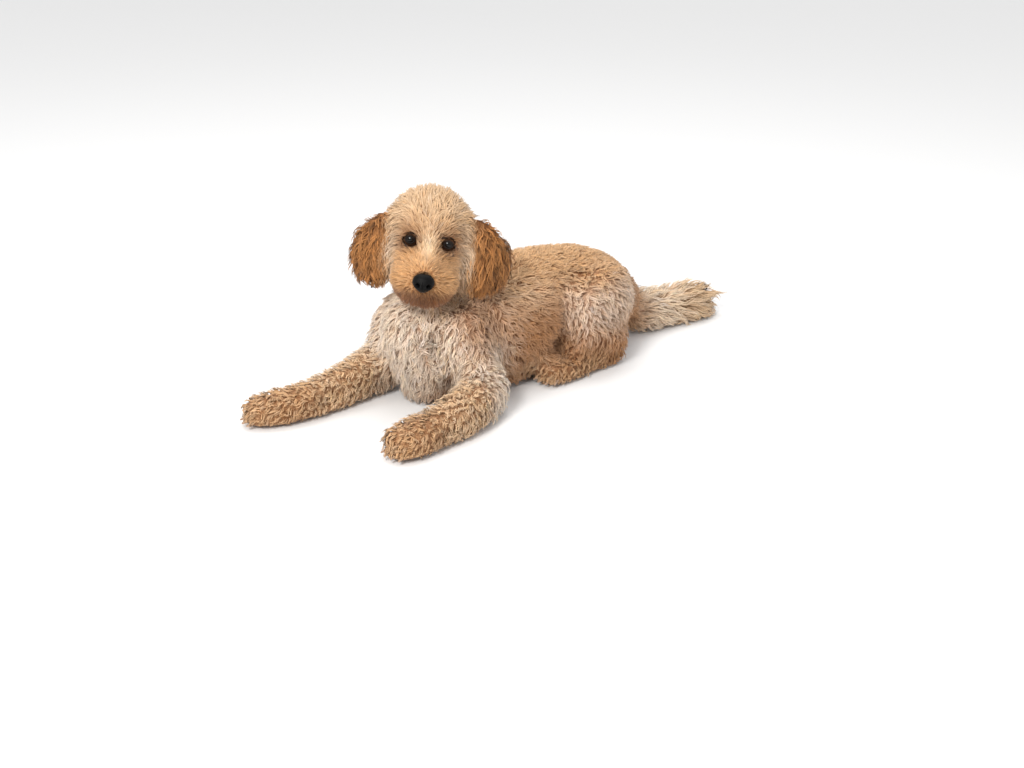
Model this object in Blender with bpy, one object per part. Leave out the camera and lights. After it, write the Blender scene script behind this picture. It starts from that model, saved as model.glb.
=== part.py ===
"""A small curly-coated dog (a miniature goldendoodle) lying on its chest with its head up.

Life size, in metres. The dog faces -Y, its left side is +X, and the floor it lies on is z = 0.
Every outline is taken at the tips of the coat.
"""
import math

import bmesh
import bpy
import numpy as np
from mathutils import Matrix, Vector

# ---- sizes that hold for the whole body ----
FLOOR_SINK = 0.0018     # how far the coat's lowest points flatten against the floor
SINK_HEIGHT = 0.030     # the flattening fades out by this height
SIDES = (("left", 1.0), ("right", -1.0))
GAP = 0.0003            # clearance left between neighbouring solids
BLEND = 0.0042          # grid on which the body masses are blended into one shape
BODY_TRIANGLES = 2560   # triangles kept for the blended body
RING = 20               # points round each ring of a limb
CLAW_RING = 5           # points round a claw

# ---- trunk: place along y, height of the centre, half width, half height ----
TRUNK = (
    (-0.140, 0.092, 0.064, 0.066),
    (-0.105, 0.084, 0.077, 0.077),
    (-0.060, 0.080, 0.082, 0.084),
    (0.000, 0.080, 0.083, 0.086),
    (0.056, 0.081, 0.075, 0.084),
    (0.120, 0.081, 0.074, 0.075),
    (0.160, 0.074, 0.067, 0.065),
    (0.194, 0.063, 0.053, 0.051),
    (0.218, 0.055, 0.036, 0.036),
)

# ---- neck: x, y, z, half width, half depth ----
NECK = (
    (0.000, -0.070, 0.105, 0.066, 0.070),
    (-0.002, -0.096, 0.150, 0.056, 0.058),
    (0.000, -0.112, 0.195, 0.048, 0.050),
    (0.002, -0.122, 0.225, 0.040, 0.042),
)

# ---- head: set by the point midway between the eyes ----
HEAD_AT = Vector((0.036, -0.166, 0.218))
HEAD_TURN = math.radians(46.3)    # looks to the dog's left
HEAD_NOD = math.radians(-2.0)     # muzzle a little below level
HEAD_TILT = math.radians(7.8)     # left ear lower than the right
EYE_SPACING = 0.0450
EYE_RADIUS = 0.0085
EYE_BACK = 0.0040
NOSE_AT = Vector((0.0, -0.0570, -0.0320))
NOSE_HALF = Vector((0.0135, 0.0110, 0.0118))

# ---- ears, in the head's own axes, for the left side: x, y, z, half breadth, half thickness ----
EAR = (
    (0.047, 0.036, 0.021, 0.014, 0.010),
    (0.061, 0.033, 0.012, 0.021, 0.012),
    (0.074, 0.028, -0.008, 0.030, 0.013),
    (0.077, 0.024, -0.031, 0.034, 0.013),
    (0.071, 0.021, -0.050, 0.029, 0.012),
    (0.064, 0.020, -0.060, 0.019, 0.009),
)
EAR_FACES = math.radians(50.0)    # the broad side looks outward and this far forward
EAR_HANGS = {"left": (0.0, 0.0), "right": (-0.007, -0.003)}   # nearer the cheek and lower by so much

# ---- tail, laid on the floor: x, y, z, half width, half height ----
TAIL = (
    (0.000, 0.214, 0.052, 0.031, 0.032),
    (0.003, 0.256, 0.034, 0.032, 0.033),
    (0.009, 0.296, 0.031, 0.032, 0.031),
    (0.012, 0.330, 0.032, 0.034, 0.033),
    (0.015, 0.358, 0.031, 0.034, 0.032),
    (0.017, 0.376, 0.028, 0.028, 0.027),
)

# ---- front legs: x, y, z, half width, half height ----
LEFT_UPPER_ARM = (
    (0.048, -0.126, 0.104, 0.037, 0.042),
    (0.065, -0.128, 0.072, 0.034, 0.036),
    (0.078, -0.122, 0.044, 0.031, 0.032),
)
LEFT_FOREARM = (
    (0.086, -0.118, 0.036, 0.033, 0.034),
    (0.108, -0.158, 0.033, 0.032, 0.033),
    (0.120, -0.198, 0.029, 0.030, 0.029),
    (0.123, -0.230, 0.026, 0.028, 0.026),
)
LEFT_PAW = (
    (0.122, -0.238, 0.025, 0.028, 0.025),
    (0.124, -0.266, 0.023, 0.032, 0.024),
    (0.123, -0.290, 0.021, 0.030, 0.021),
)
RIGHT_UPPER_ARM = (
    (-0.050, -0.130, 0.102, 0.037, 0.042),
    (-0.068, -0.142, 0.072, 0.034, 0.038),
    (-0.071, -0.148, 0.046, 0.032, 0.034),
)
RIGHT_FOREARM = (
    (-0.070, -0.150, 0.037, 0.031, 0.034),
    (-0.062, -0.196, 0.032, 0.030, 0.031),
    (-0.054, -0.250, 0.027, 0.028, 0.027),
    (-0.053, -0.288, 0.025, 0.027, 0.025),
)
RIGHT_PAW = (
    (-0.054, -0.296, 0.024, 0.028, 0.024),
    (-0.062, -0.326, 0.022, 0.031, 0.023),
    (-0.075, -0.353, 0.020, 0.029, 0.020),
)

# ---- hind legs, for the left side: x, y, z, half width, half height ----
THIGH = (
    (0.046, 0.142, 0.088, 0.040, 0.052),
    (0.062, 0.106, 0.086, 0.040, 0.056),
    (0.072, 0.072, 0.078, 0.031, 0.048),
)
SHANK = (
    (0.076, 0.072, 0.062, 0.030, 0.036),
    (0.072, 0.110, 0.045, 0.030, 0.034),
    (0.066, 0.132, 0.034, 0.026, 0.030),
)
HIND_PAW = (
    (0.066, 0.134, 0.025, 0.022, 0.025),
    (0.069, 0.080, 0.022, 0.022, 0.023),
    (0.071, 0.030, 0.021, 0.026, 0.022),
    (0.072, 0.008, 0.020, 0.024, 0.020),
)

# ---- claws ----
CLAW_LENGTH = 0.0110
CLAW_RADIUS = 0.0024
CLAW_SHOWS = 0.0025       # how far each claw stands out of the coat
CLAWS_PER_PAW = 4

# ---- where the body is parted ----
WITHERS_TILT = math.radians(16.0)
THROAT_TILT = math.radians(12.0)
FLANK_TILT = math.radians(22.0)
LEG_ROOT = 0.050          # the legs are parted from the trunk this far from the middle
CHEST_BACK = 0.008        # the chest ends here and the loin begins
LOIN_BACK = 0.118         # the loin ends here and the rump begins
TAIL_ROOT = 0.232
TAIL_MIDDLE = 0.312

# ---- coat colours, linear light ----
APRICOT = (0.57, 0.33, 0.155)
CREAM = (0.68, 0.50, 0.33)
FAWN = (0.47, 0.27, 0.14)
CARAMEL = (0.34, 0.13, 0.035)
BLACK = (0.012, 0.011, 0.011)
DARK_BROWN = (0.018, 0.009, 0.005)
HORN = (0.16, 0.09, 0.06)


def clear_scene():
    for item in list(bpy.data.objects):
        bpy.data.objects.remove(item, do_unlink=True)


def tube(rows, up=Vector((0.0, 0.0, 1.0)), ring=RING, caps=((0.92, 0.40), (0.60, 0.80))):
    """A round-ended limb through rows of (x, y, z, half width, half height)."""
    rows = [(Vector(row[:3]), row[3], row[4]) for row in rows]
    heading = []
    for place in range(len(rows)):
        before = rows[max(place - 1, 0)][0]
        after = rows[min(place + 1, len(rows) - 1)][0]
        heading.append((after - before).normalized())
    path = []
    for reach, scale in caps:
        centre, wide, high = rows[0]
        path.append((centre - heading[0] * min(wide, high) * reach, wide * scale, high * scale))
    path += rows
    for reach, scale in reversed(caps):
        centre, wide, high = rows[-1]
        path.append((centre + heading[-1] * min(wide, high) * reach, wide * scale, high * scale))
    points = []
    for place, (centre, wide, high) in enumerate(path):
        along = heading[min(max(place - len(caps), 0), len(rows) - 1)]
        side = along.cross(up).normalized()
        lift = side.cross(along).normalized()
        for step in range(ring):
            angle = 2.0 * math.pi * step / ring
            points.append(centre + side * wide * math.cos(angle) + lift * high * math.sin(angle))
    faces = []
    for place in range(len(path) - 1):
        for step in range(ring):
            here = place * ring + step
            beside = place * ring + (step + 1) % ring
            faces.append((here, beside, beside + ring, here + ring))
    faces.append(tuple(reversed(range(ring))))
    faces.append(tuple(range((len(path) - 1) * ring, len(path) * ring)))
    return points, faces


def ball(centre, halves, turn=None, rings=16):
    """An ellipsoid with the given half sizes, turned by a 3x3 matrix."""
    turn = turn or Matrix.Identity(3)
    mesh = bmesh.new()
    bmesh.ops.create_uvsphere(mesh, u_segments=2 * rings, v_segments=rings, radius=1.0)
    points = []
    for vertex in mesh.verts:
        stretched = Vector((vertex.co.x * halves[0], vertex.co.y * halves[1], vertex.co.z * halves[2]))
        points.append(turn @ stretched + Vector(centre))
    faces = [tuple(vertex.index for vertex in face.verts) for face in mesh.faces]
    mesh.free()
    return points, faces


def box(centre, halves, turn=None):
    """A block with the given half sizes, turned by a 3x3 matrix."""
    turn = turn or Matrix.Identity(3)
    points = []
    for x in (-1.0, 1.0):
        for y in (-1.0, 1.0):
            for z in (-1.0, 1.0):
                points.append(turn @ Vector((x * halves[0], y * halves[1], z * halves[2])) + Vector(centre))
    faces = [(0, 1, 3, 2), (4, 6, 7, 5), (0, 4, 5, 1), (2, 3, 7, 6), (0, 2, 6, 4), (1, 5, 7, 3)]
    return points, faces


def solid(name, shapes):
    """One object holding all the given shapes, each facing outward."""
    mesh = bmesh.new()
    for points, faces in shapes:
        made = [mesh.verts.new(point) for point in points]
        for face in faces:
            mesh.faces.new([made[index] for index in face])
    bmesh.ops.recalc_face_normals(mesh, faces=mesh.faces)
    data = bpy.data.meshes.new(name)
    mesh.to_mesh(data)
    mesh.free()
    item = bpy.data.objects.new(name, data)
    bpy.context.scene.collection.objects.link(item)
    return item


def settle(item):
    """Replace an object's mesh by the mesh its modifiers give."""
    bpy.context.view_layer.update()
    graph = bpy.context.evaluated_depsgraph_get()
    fresh = bpy.data.meshes.new_from_object(item.evaluated_get(graph))
    item.modifiers.clear()
    item.data = fresh


def remove(item):
    bpy.data.objects.remove(item, do_unlink=True)


def count_triangles(item):
    return sum(len(face.vertices) - 2 for face in item.data.polygons)


def blend(item, grid, passes, triangles):
    """Blend overlapping shapes into one smooth closed skin of about so many triangles."""
    remesh = item.modifiers.new("remesh", "REMESH")
    remesh.mode = "VOXEL"
    remesh.voxel_size = grid
    smooth = item.modifiers.new("smooth", "SMOOTH")
    smooth.factor = 0.5
    smooth.iterations = passes
    settle(item)
    keep_largest(item)
    thin = item.modifiers.new("thin", "DECIMATE")
    thin.ratio = triangles / count_triangles(item)
    thin.use_collapse_triangulate = True
    settle(item)


def keep_largest(item):
    """Drop every loose shell but the one that encloses the most."""
    mesh = bmesh.new()
    mesh.from_mesh(item.data)
    mesh.verts.ensure_lookup_table()
    seen = set()
    shells = []
    for start in mesh.verts:
        if start.index in seen:
            continue
        shell = []
        wait = [start]
        seen.add(start.index)
        while wait:
            vertex = wait.pop()
            shell.append(vertex)
            for edge in vertex.link_edges:
                other = edge.other_vert(vertex)
                if other.index not in seen:
                    seen.add(other.index)
                    wait.append(other)
        shells.append(shell)
    shells.sort(key=spread, reverse=True)
    for shell in shells[1:]:
        bmesh.ops.delete(mesh, geom=shell, context="VERTS")
    mesh.to_mesh(item.data)
    mesh.free()


def spread(shell):
    """The volume of the box round a shell."""
    low = Vector([min(vertex.co[axis] for vertex in shell) for axis in range(3)])
    high = Vector([max(vertex.co[axis] for vertex in shell) for axis in range(3)])
    size = high - low
    return size.x * size.y * size.z


def cut(item, operation, tool):
    """Apply one exact Boolean and remove the tool."""
    step = item.modifiers.new("cut", "BOOLEAN")
    step.operation = operation
    step.solver = "EXACT"
    step.object = tool
    settle(item)
    remove(tool)


def copy_of(item, name):
    other = bpy.data.objects.new(name, item.data.copy())
    bpy.context.scene.collection.objects.link(other)
    return other


def take(body, name, maker, centre, halves, turn=None):
    """Part one named piece from the body: what lies inside the region, with a thin gap left round it."""
    piece = copy_of(body, name)
    cut(piece, "INTERSECT", solid("tool", [maker(centre, halves, turn)]))
    keep_largest(piece)
    grown = [half + GAP for half in halves]
    cut(body, "DIFFERENCE", solid("tool", [maker(centre, grown, turn)]))
    keep_largest(body)
    return piece


def grown(rows, amount):
    return tuple(tuple(row[:3]) + (row[3] + amount, row[4] + amount) for row in rows)


def claw_shape(rows, extra):
    return tube(grown(rows, extra), Vector((0.0, 0.0, 1.0)), CLAW_RING, ((0.70, 0.60),))


def surface_reach(item, start, heading):
    """How far it is from a point inside the solid to its surface."""
    hit, place, normal, index = item.ray_cast(start, heading)
    return (place - start).length if hit else 0.0


def swell(item, amount):
    """Push every point outward along its normal."""
    normals = [vertex.normal.copy() for vertex in item.data.vertices]
    for vertex, normal in zip(item.data.vertices, normals):
        vertex.co += normal * amount


def mirrored(rows):
    return tuple((-row[0],) + tuple(row[1:]) for row in rows)


clear_scene()

# The head's own axes: x to the dog's left, y backward, z up.
forward = Vector((math.sin(HEAD_TURN), -math.cos(HEAD_TURN), 0.0))
left = Vector((math.cos(HEAD_TURN), math.sin(HEAD_TURN), 0.0))
nodded = forward * math.cos(HEAD_NOD) + Vector((0, 0, 1)) * math.sin(HEAD_NOD)
raised = Vector((0, 0, 1)) * math.cos(HEAD_NOD) - forward * math.sin(HEAD_NOD)
tilted = left * math.cos(HEAD_TILT) - raised * math.sin(HEAD_TILT)
crown = left * math.sin(HEAD_TILT) + raised * math.cos(HEAD_TILT)
HEAD = Matrix((tilted, -nodded, crown)).transposed()


def on_head(x, y, z):
    return HEAD @ Vector((x, y, z)) + HEAD_AT


# ---- one blended body ----
trunk = tube([(0.0, row[0], row[1], row[2], row[3]) for row in TRUNK])
forechest = ball((0.0, -0.146, 0.080), (0.066, 0.050, 0.078))
skull = ball(on_head(-0.0015, 0.046, 0.0068), (0.0575, 0.060, 0.0535), HEAD)
brow = ball(on_head(0.0, 0.018, 0.006), (0.046, 0.030, 0.034), HEAD)
cheeks = [ball(on_head(side * 0.021, 0.022, -0.024), (0.036, 0.042, 0.040), HEAD) for side in (-1, 1)]
bridge = ball(on_head(0.0, -0.020, -0.026), (0.026, 0.040, 0.026), HEAD)
whiskers = ball(on_head(0.0, -0.022, -0.040), (0.0455, 0.035, 0.027), HEAD)
beard = ball(on_head(0.0, -0.014, -0.056), (0.038, 0.037, 0.021), HEAD)
shapes = [trunk, forechest, tube(NECK, Vector((0.0, -1.0, 0.3))), skull, brow, bridge, whiskers, beard] + cheeks
shapes += [tube(TAIL), tube(LEFT_UPPER_ARM, Vector((0, -1, 0))), tube(RIGHT_UPPER_ARM, Vector((0, -1, 0)))]
shapes += [tube(LEFT_FOREARM), tube(LEFT_PAW), tube(RIGHT_FOREARM), tube(RIGHT_PAW)]
for rows in (THIGH, SHANK, HIND_PAW):
    shapes += [tube(rows), tube(mirrored(rows))]
body = solid("body", shapes)
blend(body, BLEND, 12, BODY_TRIANGLES)
for vertex in body.data.vertices:
    sink = FLOOR_SINK * max(0.0, 1.0 - vertex.co.z / SINK_HEIGHT)
    vertex.co.z = max(vertex.co.z - sink, 0.0)
whole = copy_of(body, "whole")
swell(whole, 2.0 * GAP)

# ---- hollows of the coat that the eyes sit in ----
eyes_at = {side: on_head(sign * EYE_SPACING / 2.0, EYE_BACK, 0.0) for side, sign in SIDES}
for side, sign in SIDES:
    seat = ball(eyes_at[side], [EYE_RADIUS + GAP] * 3, HEAD, 8)
    cut(body, "DIFFERENCE", solid("seat", [seat]))
    lids = HEAD @ Matrix.Rotation(math.radians(13.0), 3, "Y")
    hollow = ball(on_head(sign * EYE_SPACING / 2.0, EYE_BACK - 0.011, 0.0003), (0.0105, 0.0112, 0.0095), lids, 7)
    cut(body, "DIFFERENCE", solid("hollow", [hollow]))

# ---- part it into the pieces a person would name ----
pieces = {}


def part(name, maker_of_box, source=None):
    pieces[name] = take(source or body, name, box, *maker_of_box)


part("lower_jaw", (on_head(0.0, -0.035, -0.0625), (0.042, 0.036, 0.0135), HEAD))
part("muzzle", (on_head(0.0, -0.048, -0.0087), (0.060, 0.036, 0.040), HEAD))
throat = HEAD @ Matrix.Rotation(THROAT_TILT, 3, "X")
part("head", (on_head(0.0, 0.048, -0.048) + throat @ Vector((0.0, 0.0, 0.09)), (0.09, 0.09, 0.09), throat))
withers = Matrix.Rotation(WITHERS_TILT, 3, "X")
part("neck", (Vector((0.0, -0.110, 0.1515)) + withers @ Vector((0.0, 0.0, 0.06)), (0.09, 0.09, 0.06), withers))

# Each front leg: the paw, then the forearm, then the upper arm with the elbow.
part("forepaw_left", ((0.125, -0.300, 0.03), (0.06, 0.065, 0.05), Matrix.Rotation(math.radians(8.0), 3, "Z")))
part("forearm_left", ((0.125, -0.215, 0.03), (0.062, 0.065, 0.06), Matrix.Rotation(math.radians(16.0), 3, "Z")))
part("upper_arm_left", ((LEG_ROOT + 0.05, -0.125, 0.07), (0.05, 0.055, 0.085)))
part("forepaw_right", ((-0.060, -0.355, 0.03), (0.06, 0.065, 0.05)))
part("forearm_right", ((-0.082, -0.237, 0.02), (0.052, 0.052, 0.05)))
part("upper_arm_right", ((-LEG_ROOT - 0.05, -0.140, 0.07), (0.05, 0.058, 0.085)))

# Each hind leg: the paw, then the shank with the hock, then the thigh.
for side, sign in SIDES:
    flank = Matrix.Rotation(sign * FLANK_TILT, 3, "Y")
    inner = Vector((sign * 0.0455, 0.035, 0.0)) + flank @ Vector((sign * 0.06, 0.0, 0.0))
    part("hind_paw_" + side, (inner, (0.06, 0.068, 0.046), flank))
    part("shank_" + side, ((sign * (LEG_ROOT + 0.06), 0.130, -0.041), (0.06, 0.100, 0.10)))
    part("thigh_" + side, ((sign * (LEG_ROOT + 0.06), 0.130, 0.12), (0.06, 0.100, 0.10)))

part("tail_tip", ((0.0, TAIL_MIDDLE + 0.2, 0.0), (0.2, 0.2, 0.2)))
part("tail_base", ((0.0, TAIL_ROOT + 0.2, 0.0), (0.2, 0.2, 0.2)))
part("chest", ((0.0, CHEST_BACK - 0.3, 0.0), (0.3, 0.3, 0.3)))
part("loin", ((0.0, LOIN_BACK - 0.3, 0.0), (0.3, 0.3, 0.3)))
pieces["rump"] = body

# ---- ears: leaf-shaped flaps hanging from the sides of the skull ----
for side, sign in SIDES:
    nearer, lower = EAR_HANGS[side]
    rows = [tuple(on_head(sign * (row[0] + nearer), row[1], row[2] + lower)) + (row[3], row[4]) for row in EAR]
    outward = HEAD @ Vector((sign * math.cos(EAR_FACES), -math.sin(EAR_FACES), 0.0))
    ear = solid("ear_" + side, [tube(rows, outward, 16)])
    cut(ear, "DIFFERENCE", copy_of(whole, "tool"))
    keep_largest(ear)
    pieces["ear_" + side] = ear
remove(whole)

# ---- eyes ----
for side, sign in SIDES:
    pieces["eye_" + side] = solid("eye_" + side, [ball(eyes_at[side], [EYE_RADIUS] * 3, HEAD, 8)])

# ---- nose leather ----
nose_at = HEAD @ NOSE_AT + HEAD_AT
seat = solid("seat", [ball(nose_at, [half + GAP for half in NOSE_HALF], HEAD, 8)])
cut(pieces["muzzle"], "DIFFERENCE", seat)
keep_largest(pieces["muzzle"])
pieces["nose"] = solid("nose", [ball(nose_at, NOSE_HALF, HEAD, 8)])

# ---- claws ----
for paw, rows in (
    ("forepaw_left", LEFT_PAW),
    ("forepaw_right", RIGHT_PAW),
    ("hind_paw_left", HIND_PAW),
    ("hind_paw_right", mirrored(HIND_PAW)),
):
    tip = Vector(rows[-1][:3])
    along = (tip - Vector(rows[-2][:3])).normalized()
    across = along.cross(Vector((0.0, 0.0, 1.0))).normalized()
    for number in range(CLAWS_PER_PAW):
        share = (number + 0.5) / CLAWS_PER_PAW * 2.0 - 1.0
        fan = (along + across * share * 0.45).normalized()
        start = tip + across * share * 0.017
        start.z = 0.0095
        reach = surface_reach(pieces[paw], start, fan)
        claw_tip = start + fan * (reach + CLAW_SHOWS)
        claw_tip.z = 0.0065
        root = claw_tip - fan * CLAW_LENGTH
        root.z = 0.0100
        shape = ((root, CLAW_RADIUS), (claw_tip, CLAW_RADIUS * 0.5))
        claw_rows = [tuple(at) + (size, size) for at, size in shape]
        cut(pieces[paw], "DIFFERENCE", solid("seat", [claw_shape(claw_rows, GAP)]))
        keep_largest(pieces[paw])
        label = "claw_" + paw + "_" + str(number + 1)
        pieces[label] = solid(label, [claw_shape(claw_rows, 0.0)])

# ---- names, materials, shading, and the origin under the middle of the whole dog ----
COAT = {
    "head": CREAM, "muzzle": APRICOT, "lower_jaw": FAWN, "neck": CREAM, "chest": CREAM,
    "loin": FAWN, "rump": APRICOT, "tail_base": CREAM, "tail_tip": APRICOT,
    "ear_left": CARAMEL, "ear_right": CARAMEL,
    "eye_left": DARK_BROWN, "eye_right": DARK_BROWN, "nose": BLACK,
}
ROUGH = {"eye_left": 0.05, "eye_right": 0.05, "nose": 0.38}
corners = [vertex.co for item in pieces.values() for vertex in item.data.vertices]
low = Vector([min(corner[axis] for corner in corners) for axis in range(3)])
high = Vector([max(corner[axis] for corner in corners) for axis in range(3)])
shift = Vector((-(low.x + high.x) / 2.0, -(low.y + high.y) / 2.0, -low.z))
for name, item in pieces.items():
    item.name = name
    item.data.name = name
    for vertex in item.data.vertices:
        vertex.co += shift
    item.data.polygons.foreach_set("use_smooth", [True] * len(item.data.polygons))
    item.data.set_sharp_from_angle(angle=math.radians(42.0))
    colour = COAT.get(name, HORN if name.startswith("claw") else APRICOT)
    material = bpy.data.materials.new(name)
    material.use_nodes = True
    shader = material.node_tree.nodes["Principled BSDF"]
    shader.inputs["Base Color"].default_value = (*colour, 1.0)
    shader.inputs["Roughness"].default_value = ROUGH.get(name, 0.85)
    shader.inputs["Metallic"].default_value = 0.0
    item.data.materials.clear()
    item.data.materials.append(material)
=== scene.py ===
"""A small curly-coated dog, lying on its chest with its head up: skin, eyes, nose and combed coat."""

import itertools
import math

import bmesh
import bpy
import numpy as np
from mathutils import Matrix, Vector
from mathutils.bvhtree import BVHTree


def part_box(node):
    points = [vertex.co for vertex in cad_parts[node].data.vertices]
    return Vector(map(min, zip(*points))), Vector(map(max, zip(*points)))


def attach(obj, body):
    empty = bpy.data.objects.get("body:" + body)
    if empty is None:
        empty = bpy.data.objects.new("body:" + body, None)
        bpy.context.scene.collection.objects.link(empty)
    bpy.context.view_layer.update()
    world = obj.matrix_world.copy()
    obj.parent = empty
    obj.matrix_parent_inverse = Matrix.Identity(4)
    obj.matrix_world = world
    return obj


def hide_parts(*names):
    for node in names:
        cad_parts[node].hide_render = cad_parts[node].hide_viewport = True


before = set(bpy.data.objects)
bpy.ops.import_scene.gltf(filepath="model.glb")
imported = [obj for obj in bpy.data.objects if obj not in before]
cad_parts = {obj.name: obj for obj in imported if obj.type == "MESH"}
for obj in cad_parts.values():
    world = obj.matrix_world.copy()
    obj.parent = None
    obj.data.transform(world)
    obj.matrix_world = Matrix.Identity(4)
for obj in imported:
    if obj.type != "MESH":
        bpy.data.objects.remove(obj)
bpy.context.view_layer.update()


# ---------------------------------------------------------------- the skin
# One hide over the whole dog, with no seam between trunk, head and legs. It lies inside the
# solids by the depth of the coat that grows on it, and carries the same markings as the coat.
HIDE_GRID = 0.0030          # the mesh that the hide is drawn on
DRAW_IN, LET_OUT = 0.50, -0.52      # one round of smoothing draws points in, then lets them out
THINNEST = 0.40             # the hide never moves in by more than this share of a limb's thickness
SOLE_DEPTH = 0.0012         # coat depth where the dog lies on the floor
CREASE_DEPTH = 0.0060       # how far the hide folds in before each thigh
SIDES = ("left", "right")
FLESH = ["head", "muzzle", "lower_jaw", "neck", "chest", "loin", "rump", "tail_base", "tail_tip"]
for side in SIDES:
    FLESH += [name + "_" + side for name in ("ear", "upper_arm", "forearm", "forepaw")]
    FLESH += [name + "_" + side for name in ("thigh", "shank", "hind_paw")]


def middle_of(node):
    """The middle of a solid's box."""
    low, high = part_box(node)
    return np.array((low + high) / 2)


def ball_of(side):
    """The centre and the radius of an eye."""
    low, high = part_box("eye_" + side)
    return np.array((low + high) / 2), (high - low)[2] / 2


def unit(vectors):
    """The same directions at length 1."""
    vectors = np.asarray(vectors, float)
    return vectors / np.maximum(np.linalg.norm(vectors, axis=-1, keepdims=True), 1e-9)


def paint(red, green, blue):
    """A pigment from its usual 0 to 255 mix, as linear light."""
    mix = np.array((red, green, blue)) / 255.0
    return np.where(mix <= 0.04045, mix / 12.92, ((mix + 0.055) / 1.055) ** 2.4)


# The head's own axes, from where the eyes and the nose sit.
eye_middle = (middle_of("eye_left") + middle_of("eye_right")) / 2
nose_middle = middle_of("nose")
head_left = unit(middle_of("eye_left") - middle_of("eye_right"))
head_up = unit(np.array((0.0, 0.0, 1.0)) - head_left * head_left[2])
head_back = np.cross(head_up, head_left)


def on_head(left, back, up):
    """A place measured from the point midway between the eyes."""
    return eye_middle + head_left * left + head_back * back + head_up * up


def rows(items, field, width, kind=np.float32):
    """One field of all of a mesh's items, a row to each."""
    values = np.empty(len(items) * width, kind)
    items.foreach_get(field, values)
    return values.reshape(-1, width)


def corners_of(mesh):
    """A mesh's points."""
    return rows(mesh.vertices, "co", 3).astype(float)


def normals_of(mesh):
    """A mesh's smooth outward directions, one to a point."""
    return rows(mesh.vertices, "normal", 3).astype(float)


flesh_points, flesh_faces, flesh_owner = [], [], []
for number, name in enumerate(FLESH):
    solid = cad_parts[name].data
    first = len(flesh_points)
    flesh_points += [point.co.copy() for point in solid.vertices]
    flesh_faces += [[first + corner for corner in face.vertices] for face in solid.polygons]
    flesh_owner += [number] * len(solid.polygons)
flesh_mesh = bpy.data.meshes.new("flesh")
flesh_mesh.from_pydata(flesh_points, [], flesh_faces)
flesh = bpy.data.objects.new("flesh", flesh_mesh)
bpy.context.scene.collection.objects.link(flesh)
cover = flesh.modifiers.new("cover", "REMESH")
cover.mode = "VOXEL"
cover.voxel_size = HIDE_GRID
graph = bpy.context.evaluated_depsgraph_get()
hide_mesh = bpy.data.meshes.new_from_object(flesh.evaluated_get(graph))
bpy.data.objects.remove(flesh)

# Pockets left between the solids are thrown away: only the outside is hide.
work = bmesh.new()
work.from_mesh(hide_mesh)
seen, largest = set(), []
for point in work.verts:
    if point in seen:
        continue
    island, queue = [], [point]
    seen.add(point)
    while queue:
        here = queue.pop()
        island.append(here)
        for edge in here.link_edges:
            other = edge.other_vert(here)
            if other not in seen:
                seen.add(other)
                queue.append(other)
    if len(island) > len(largest):
        largest = island
keep = set(largest)
bmesh.ops.delete(work, geom=[point for point in work.verts if point not in keep], context="VERTS")
work.to_mesh(hide_mesh)
work.free()
hide_mesh.update()

edge_a, edge_b = rows(hide_mesh.edges, "vertices", 2, np.int32).T
hide_count = len(hide_mesh.vertices)
edge_ends = np.bincount(edge_a, minlength=hide_count) + np.bincount(edge_b, minlength=hide_count)


def softened(values, rounds, share=DRAW_IN):
    """Values at the hide's points, each drawn towards the mean of its neighbours."""
    values = np.array(values, float)
    columns = values.reshape(hide_count, -1)
    for _ in range(rounds):
        for column in range(columns.shape[1]):
            around = np.bincount(edge_a, columns[edge_b, column], hide_count)
            around += np.bincount(edge_b, columns[edge_a, column], hide_count)
            columns[:, column] += share * (around / edge_ends - columns[:, column])
    return columns.reshape(values.shape)


def smoothed(points, rounds):
    """Points evened out without shrinking the shape: each round draws in, then lets out."""
    for _ in range(rounds):
        points = softened(softened(points, 1, DRAW_IN), 1, LET_OUT)
    return points


outer = smoothed(corners_of(hide_mesh), 3)
hide_mesh.vertices.foreach_set("co", outer.astype(np.float32).ravel())
hide_mesh.update()
outward = normals_of(hide_mesh)
solids = BVHTree.FromPolygons(flesh_points, flesh_faces)
owner = np.array([flesh_owner[solids.find_nearest(Vector(point))[2]] for point in outer])


def belongs(*nodes):
    """Which of the hide's points lie on these solids."""
    return np.isin(owner, [FLESH.index(node) for node in nodes])


# ---------------------------------------------------------------- the coat's chart
# What a groomer would write down for each part of the dog: how deep the coat stands, how long
# and wide its locks are, how they curl, which way they lie, and the colour at root and tip; each root's
# darker colour is partly painted shade deep in the coat.
CREAM_ROOT, CREAM_TIP = paint(204, 166, 138), paint(246, 229, 208)
CROWN_ROOT, CROWN_TIP = paint(206, 163, 122), paint(224, 190, 152)
MUZZLE_ROOT, MUZZLE_TIP = paint(162, 108, 62), paint(224, 174, 122)
# The lower jaw's dark brown is painted shade, where the muzzle shades the jaw.
JAW_SHADED_ROOT, JAW_SHADED_TIP = paint(80, 47, 23), paint(152, 96, 52)
EAR_ROOT, EAR_TIP = paint(82, 45, 20), paint(180, 122, 68)
BACK_ROOT, BACK_TIP = paint(172, 120, 78), paint(234, 190, 142)
FLANK_ROOT, FLANK_TIP = paint(140, 92, 56), paint(200, 148, 104)
HIP_ROOT, HIP_TIP = paint(188, 149, 122), paint(245, 220, 196)
LEG_ROOT, LEG_TIP = paint(158, 108, 67), paint(246, 212, 172)
PAW_ROOT, PAW_TIP = paint(138, 90, 51), paint(222, 181, 138)
TAIL_ROOT, TAIL_TIP = paint(196, 156, 125), paint(248, 226, 198)
PLUME_ROOT, PLUME_TIP = paint(178, 136, 98), paint(240, 208, 170)

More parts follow.
